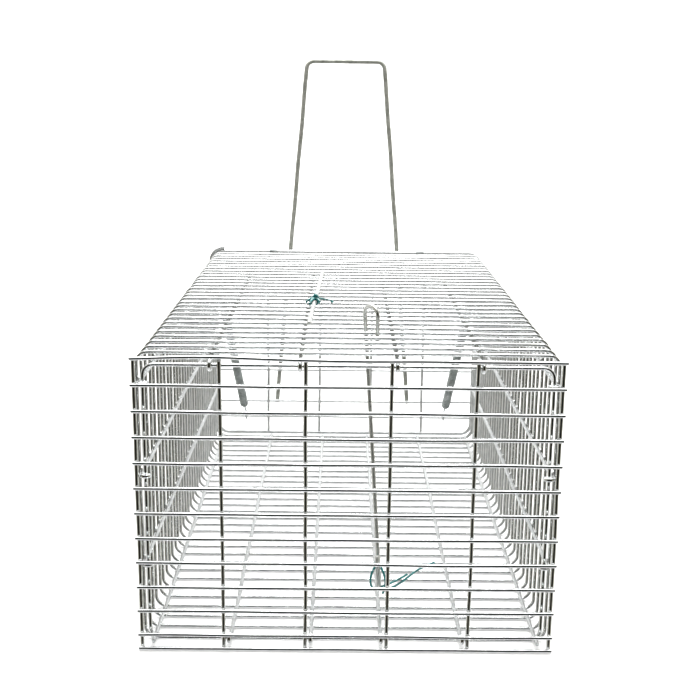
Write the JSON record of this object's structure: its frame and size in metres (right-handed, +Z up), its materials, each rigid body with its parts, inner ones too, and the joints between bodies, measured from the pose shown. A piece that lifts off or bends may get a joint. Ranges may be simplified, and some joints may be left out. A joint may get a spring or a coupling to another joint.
{
  "type": "live-capture wire cage",
  "caption": "Long box cage of welded zinc-plated wire with a top-hinged sprung door, tall U lever, hold-down rod on top and hanging bait rod.",
  "frame": {"origin": "bottom centre of the whole cage, on the plane it stands on", "axes": "+Z up, +Y towards the sprung door, +X to the right seen from the closed end"},
  "size_m": [0.3092, 0.517, 0.4345],
  "materials": {
    "zinc_wire": "satin",
    "frame_wire": "satin",
    "lever_wire": "satin",
    "rod_wire": "satin",
    "spring_wire": "satin",
    "clip_sheet": "satin",
    "tie_plastic": "satin"
  },
  "bodies": {
    "cage": {"top_cross_wires": "zinc_wire", "floor_cross_wires": "zinc_wire", "left_upright_wires": "zinc_wire", "right_upright_wires": "zinc_wire", "mesh_corner_bends": "zinc_wire", "top_long_wires": "zinc_wire", "left_long_wires": "zinc_wire", "right_long_wires": "zinc_wire", "floor_long_wires": "zinc_wire", "end_panel_cross_wires": "zinc_wire", "end_panel_uprights": "zinc_wire", "end_panel_ring": "zinc_wire", "door_ring": "frame_wire", "door_ring_tail": "frame_wire", "left_spring_upper_loop": "spring_wire", "right_spring_upper_loop": "spring_wire"},
    "door": {"door_frame": "frame_wire", "door_uprights": "zinc_wire", "door_cross_wires": "zinc_wire", "hinge_clips": "clip_sheet", "lift_lever": "lever_wire"},
    "hold_down_rod": {"hold_down_rod": "rod_wire", "rod_tie": "tie_plastic"},
    "bait_rod": {"bait_rod": "rod_wire", "hook_tie": "tie_plastic"},
    "left_spring": {"left_spring_coil": "spring_wire"},
    "left_spring_end": {"left_spring_lower_loop": "spring_wire"},
    "right_spring": {"right_spring_coil": "spring_wire"},
    "right_spring_end": {"right_spring_lower_loop": "spring_wire"}
  },
  "joints": [
    {"name": "door_hinge", "type": "hinge", "parent": "cage", "child": "door", "pos_m": [0.002, 0.2443, 0.222], "axis": [1, 0, 0], "range_deg": [0, 90], "stiffness_Nm_per_rad": 0.32, "springref_deg": -108.86},
    {"name": "hold_down_rod_pivot", "type": "hinge", "parent": "cage", "child": "hold_down_rod", "pos_m": [-0.0225, 0.0943, 0.2214], "axis": [-1, 0, 0], "range_deg": [0, 155]},
    {"name": "bait_rod_pivot", "type": "hinge", "parent": "cage", "child": "bait_rod", "pos_m": [0.0195, -0.17237, 0.2214], "axis": [1, 0, 0], "range_deg": [-8, 12]},
    {"name": "left_spring_pivot", "type": "hinge", "parent": "cage", "child": "left_spring", "pos_m": [-0.1375, 0.1903, 0.194], "axis": [1, 0, 0], "range_deg": [0, 78.1]},
    {"name": "left_spring_stretch", "type": "slide", "parent": "left_spring", "child": "left_spring_end", "axis": [0, 0.3425, -0.9395], "range_m": [0, 0.074], "deforming": ["left_spring_coil", "left_spring_lower_loop"]},
    {"name": "right_spring_pivot", "type": "hinge", "parent": "cage", "child": "right_spring", "pos_m": [0.1415, 0.1903, 0.194], "axis": [1, 0, 0], "range_deg": [0, 78.1]},
    {"name": "right_spring_stretch", "type": "slide", "parent": "right_spring", "child": "right_spring_end", "axis": [0, 0.3425, -0.9395], "range_m": [0, 0.074], "deforming": ["right_spring_coil", "right_spring_lower_loop"]}
  ],
  "couplings": [
    {"joint": "left_spring_pivot", "follows": "door_hinge", "ratio": 0.86744},
    {"joint": "left_spring_stretch", "follows": "door_hinge", "m_per_rad": 0.046868},
    {"joint": "right_spring_pivot", "follows": "door_hinge", "ratio": 0.86744},
    {"joint": "right_spring_stretch", "follows": "door_hinge", "m_per_rad": 0.046868}
  ]
}
